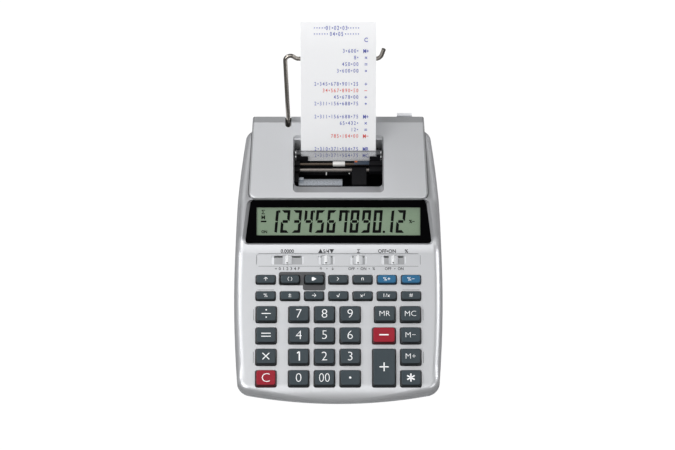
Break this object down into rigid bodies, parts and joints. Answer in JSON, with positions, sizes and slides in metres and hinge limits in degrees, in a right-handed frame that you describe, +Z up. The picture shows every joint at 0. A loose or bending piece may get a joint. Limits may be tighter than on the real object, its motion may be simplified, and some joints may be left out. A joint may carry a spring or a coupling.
{
  "type": "desktop printing calculator",
  "caption": "Desktop printing calculator with a sloping keyboard, tilted display, hinged printer cover, wire arm with paper roll, feed roller, print carriage and slide switches.",
  "frame": {"origin": "middle of the overall outline in plan, at desk height", "axes": "+X to the user's right, +Y to the rear where the paper roll stands, +Z up"},
  "size_m": [0.1564, 0.2647, 0.1452],
  "materials": {
    "silver_plastic": "satin silver paint",
    "grey_plastic": "fine grain",
    "display_glass": "gloss black border",
    "lcd_film": "grey-green film",
    "board_laminate": "green lacquer",
    "mat_rubber": "matt",
    "cell_sleeve": "printed sleeve",
    "foot_rubber": "matt",
    "screw_steel": "plated",
    "wire_nickel": "bright nickel",
    "paper": "smooth white",
    "clear_plastic": "clear, smoked",
    "black_plastic": "fine grain",
    "rod_steel": "ground",
    "roller_rubber": "matt",
    "switch_plastic": "satin",
    "key_dark": "satin slate grey",
    "key_red": "satin red",
    "key_blue": "satin blue"
  },
  "bodies": {
    "case": {"lower_case": "grey_plastic", "upper_case": "silver_plastic", "display_window": "display_glass", "lcd_panel": "lcd_film", "main_board": "board_laminate", "key_mat": "mat_rubber", "battery_cells": "cell_sleeve", "rubber_feet": "foot_rubber", "case_screws": "screw_steel", "tear_bar": "clear_plastic", "printer_frame": "black_plastic", "carriage_rods": "rod_steel", "paper_strip": "paper"},
    "cover": {"printer_cover": "silver_plastic"},
    "hatch": {"battery_cover": "grey_plastic"},
    "arm": {"paper_arm": "wire_nickel"},
    "roll": {"paper_roll": "paper"},
    "roller": {"feed_roller": "roller_rubber"},
    "carriage": {"print_carriage": "black_plastic"},
    "decimal_switch": {"decimal_switch": "switch_plastic"},
    "rounding_switch": {"rounding_switch": "switch_plastic"},
    "total_switch": {"total_switch": "switch_plastic"},
    "print_switch": {"print_switch": "switch_plastic"},
    "key_feed": {"key_feed": "key_dark"},
    "key_mode": {"key_mode": "key_dark"},
    "key_start": {"key_start": "key_dark"},
    "key_grand_total": {"key_grand_total": "key_dark"},
    "key_item_count": {"key_item_count": "key_dark"},
    "key_tax_plus": {"key_tax_plus": "key_blue"},
    "key_tax_minus": {"key_tax_minus": "key_blue"},
    "key_percent_change": {"key_percent_change": "key_dark"},
    "key_sign_root": {"key_sign_root": "key_dark"},
    "key_backspace": {"key_backspace": "key_dark"},
    "key_cost": {"key_cost": "key_dark"},
    "key_sell": {"key_sell": "key_dark"},
    "key_margin": {"key_margin": "key_dark"},
    "key_number": {"key_number": "key_dark"},
    "key_clear": {"key_clear": "key_red"},
    "key_multiply": {"key_multiply": "key_dark"},
    "key_equals": {"key_equals": "key_dark"},
    "key_divide": {"key_divide": "key_dark"},
    "key_0": {"key_0": "key_dark"},
    "key_1": {"key_1": "key_dark"},
    "key_4": {"key_4": "key_dark"},
    "key_7": {"key_7": "key_dark"},
    "key_00": {"key_00": "key_dark"},
    "key_2": {"key_2": "key_dark"},
    "key_5": {"key_5": "key_dark"},
    "key_8": {"key_8": "key_dark"},
    "key_point": {"key_point": "key_dark"},
    "key_3": {"key_3": "key_dark"},
    "key_6": {"key_6": "key_dark"},
    "key_9": {"key_9": "key_dark"},
    "key_total": {"key_total": "key_dark"},
    "key_memory_plus": {"key_memory_plus": "key_dark"},
    "key_memory_minus": {"key_memory_minus": "key_dark"},
    "key_memory_subtotal": {"key_memory_subtotal": "key_dark"},
    "key_plus": {"key_plus": "key_dark"},
    "key_minus": {"key_minus": "key_red"},
    "key_memory_total": {"key_memory_total": "key_dark"}
  },
  "joints": [
    {"name": "cover_hinge", "type": "hinge", "parent": "case", "child": "cover", "pos_m": [0, 0.07877, 0.0432], "axis": [-1, 0, 0], "range_deg": [0, 40]},
    {"name": "hatch_slide", "type": "slide", "parent": "case", "child": "hatch", "axis": [0, 1, 0], "range_m": [0, 0.008]},
    {"name": "arm_hinge", "type": "hinge", "parent": "case", "child": "arm", "pos_m": [0, 0.07387, 0.028], "axis": [-1, 0, 0], "range_deg": [0, 60], "deforming": ["paper_strip"]},
    {"name": "roll_spin", "type": "hinge", "parent": "arm", "child": "roll", "pos_m": [0, 0.11213, 0.09015], "axis": [-1, 0, 0], "continuous": true},
    {"name": "roller_spin", "type": "hinge", "parent": "case", "child": "roller", "pos_m": [0, 0.05542, 0.031], "axis": [-1, 0, 0], "continuous": true},
    {"name": "carriage_slide", "type": "slide", "parent": "case", "child": "carriage", "axis": [1, 0, 0], "range_m": [-0.0355, 0.0015]},
    {"name": "decimal_switch_slide", "type": "slide", "parent": "case", "child": "decimal_switch", "axis": [1, 0, 0], "range_m": [-0.00835, 0.00835]},
    {"name": "rounding_switch_slide", "type": "slide", "parent": "case", "child": "rounding_switch", "axis": [1, 0, 0], "range_m": [-0.00245, 0.00245]},
    {"name": "total_switch_slide", "type": "slide", "parent": "case", "child": "total_switch", "axis": [1, 0, 0], "range_m": [-0.00255, 0.00255]},
    {"name": "print_switch_slide", "type": "slide", "parent": "case", "child": "print_switch", "axis": [1, 0, 0], "range_m": [-0.00545, 0.00545]},
    {"name": "key_feed_press", "type": "slide", "parent": "case", "child": "key_feed", "axis": [0, 0.1219, -0.9925], "range_m": [0, 0.0025], "stiffness_N_per_m": 240},
    {"name": "key_mode_press", "type": "slide", "parent": "case", "child": "key_mode", "axis": [0, 0.1219, -0.9925], "range_m": [0, 0.0025], "stiffness_N_per_m": 240},
    {"name": "key_start_press", "type": "slide", "parent": "case", "child": "key_start", "axis": [0, 0.1219, -0.9925], "range_m": [0, 0.0025], "stiffness_N_per_m": 240},
    {"name": "key_grand_total_press", "type": "slide", "parent": "case", "child": "key_grand_total", "axis": [0, 0.1219, -0.9925], "range_m": [0, 0.0025], "stiffness_N_per_m": 240},
    {"name": "key_item_count_press", "type": "slide", "parent": "case", "child": "key_item_count", "axis": [0, 0.1219, -0.9925], "range_m": [0, 0.0025], "stiffness_N_per_m": 240},
    {"name": "key_tax_plus_press", "type": "slide", "parent": "case", "child": "key_tax_plus", "axis": [0, 0.1219, -0.9925], "range_m": [0, 0.0025], "stiffness_N_per_m": 240},
    {"name": "key_tax_minus_press", "type": "slide", "parent": "case", "child": "key_tax_minus", "axis": [0, 0.1219, -0.9925], "range_m": [0, 0.0025], "stiffness_N_per_m": 240},
    {"name": "key_percent_change_press", "type": "slide", "parent": "case", "child": "key_percent_change", "axis": [0, 0.1219, -0.9925], "range_m": [0, 0.0025], "stiffness_N_per_m": 240},
    {"name": "key_sign_root_press", "type": "slide", "parent": "case", "child": "key_sign_root", "axis": [0, 0.1219, -0.9925], "range_m": [0, 0.0025], "stiffness_N_per_m": 240},
    {"name": "key_backspace_press", "type": "slide", "parent": "case", "child": "key_backspace", "axis": [0, 0.1219, -0.9925], "range_m": [0, 0.0025], "stiffness_N_per_m": 240},
    {"name": "key_cost_press", "type": "slide", "parent": "case", "child": "key_cost", "axis": [0, 0.1219, -0.9925], "range_m": [0, 0.0025], "stiffness_N_per_m": 240},
    {"name": "key_sell_press", "type": "slide", "parent": "case", "child": "key_sell", "axis": [0, 0.1219, -0.9925], "range_m": [0, 0.0025], "stiffness_N_per_m": 240},
    {"name": "key_margin_press", "type": "slide", "parent": "case", "child": "key_margin", "axis": [0, 0.1219, -0.9925], "range_m": [0, 0.0025], "stiffness_N_per_m": 240},
    {"name": "key_number_press", "type": "slide", "parent": "case", "child": "key_number", "axis": [0, 0.1219, -0.9925], "range_m": [0, 0.0025], "stiffness_N_per_m": 240},
    {"name": "key_clear_press", "type": "slide", "parent": "case", "child": "key_clear", "axis": [0, 0.1219, -0.9925], "range_m": [0, 0.0025], "stiffness_N_per_m": 240},
    {"name": "key_multiply_press", "type": "slide", "parent": "case", "child": "key_multiply", "axis": [0, 0.1219, -0.9925], "range_m": [0, 0.0025], "stiffness_N_per_m": 240},
    {"name": "key_equals_press", "type": "slide", "parent": "case", "child": "key_equals", "axis": [0, 0.1219, -0.9925], "range_m": [0, 0.0025], "stiffness_N_per_m": 240},
    {"name": "key_divide_press", "type": "slide", "parent": "case", "child": "key_divide", "axis": [0, 0.1219, -0.9925], "range_m": [0, 0.0025], "stiffness_N_per_m": 240},
    {"name": "key_0_press", "type": "slide", "parent": "case", "child": "key_0", "axis": [0, 0.1219, -0.9925], "range_m": [0, 0.0025], "stiffness_N_per_m": 240},
    {"name": "key_1_press", "type": "slide", "parent": "case", "child": "key_1", "axis": [0, 0.1219, -0.9925], "range_m": [0, 0.0025], "stiffness_N_per_m": 240},
    {"name": "key_4_press", "type": "slide", "parent": "case", "child": "key_4", "axis": [0, 0.1219, -0.9925], "range_m": [0, 0.0025], "stiffness_N_per_m": 240},
    {"name": "key_7_press", "type": "slide", "parent": "case", "child": "key_7", "axis": [0, 0.1219, -0.9925], "range_m": [0, 0.0025], "stiffness_N_per_m": 240},
    {"name": "key_00_press", "type": "slide", "parent": "case", "child": "key_00", "axis": [0, 0.1219, -0.9925], "range_m": [0, 0.0025], "stiffness_N_per_m": 240},
    {"name": "key_2_press", "type": "slide", "parent": "case", "child": "key_2", "axis": [0, 0.1219, -0.9925], "range_m": [0, 0.0025], "stiffness_N_per_m": 240},
    {"name": "key_5_press", "type": "slide", "parent": "case", "child": "key_5", "axis": [0, 0.1219, -0.9925], "range_m": [0, 0.0025], "stiffness_N_per_m": 240},
    {"name": "key_8_press", "type": "slide", "parent": "case", "child": "key_8", "axis": [0, 0.1219, -0.9925], "range_m": [0, 0.0025], "stiffness_N_per_m": 240},
    {"name": "key_point_press", "type": "slide", "parent": "case", "child": "key_point", "axis": [0, 0.1219, -0.9925], "range_m": [0, 0.0025], "stiffness_N_per_m": 240},
    {"name": "key_3_press", "type": "slide", "parent": "case", "child": "key_3", "axis": [0, 0.1219, -0.9925], "range_m": [0, 0.0025], "stiffness_N_per_m": 240},
    {"name": "key_6_press", "type": "slide", "parent": "case", "child": "key_6", "axis": [0, 0.1219, -0.9925], "range_m": [0, 0.0025], "stiffness_N_per_m": 240},
    {"name": "key_9_press", "type": "slide", "parent": "case", "child": "key_9", "axis": [0, 0.1219, -0.9925], "range_m": [0, 0.0025], "stiffness_N_per_m": 240},
    {"name": "key_total_press", "type": "slide", "parent": "case", "child": "key_total", "axis": [0, 0.1219, -0.9925], "range_m": [0, 0.0025], "stiffness_N_per_m": 240},
    {"name": "key_memory_plus_press", "type": "slide", "parent": "case", "child": "key_memory_plus", "axis": [0, 0.1219, -0.9925], "range_m": [0, 0.0025], "stiffness_N_per_m": 240},
    {"name": "key_memory_minus_press", "type": "slide", "parent": "case", "child": "key_memory_minus", "axis": [0, 0.1219, -0.9925], "range_m": [0, 0.0025], "stiffness_N_per_m": 240},
    {"name": "key_memory_subtotal_press", "type": "slide", "parent": "case", "child": "key_memory_subtotal", "axis": [0, 0.1219, -0.9925], "range_m": [0, 0.0025], "stiffness_N_per_m": 240},
    {"name": "key_plus_press", "type": "slide", "parent": "case", "child": "key_plus", "axis": [0, 0.1219, -0.9925], "range_m": [0, 0.0025], "stiffness_N_per_m": 240},
    {"name": "key_minus_press", "type": "slide", "parent": "case", "child": "key_minus", "axis": [0, 0.1219, -0.9925], "range_m": [0, 0.0025], "stiffness_N_per_m": 240},
    {"name": "key_memory_total_press", "type": "slide", "parent": "case", "child": "key_memory_total", "axis": [0, 0.1219, -0.9925], "range_m": [0, 0.0025], "stiffness_N_per_m": 240}
  ]
}
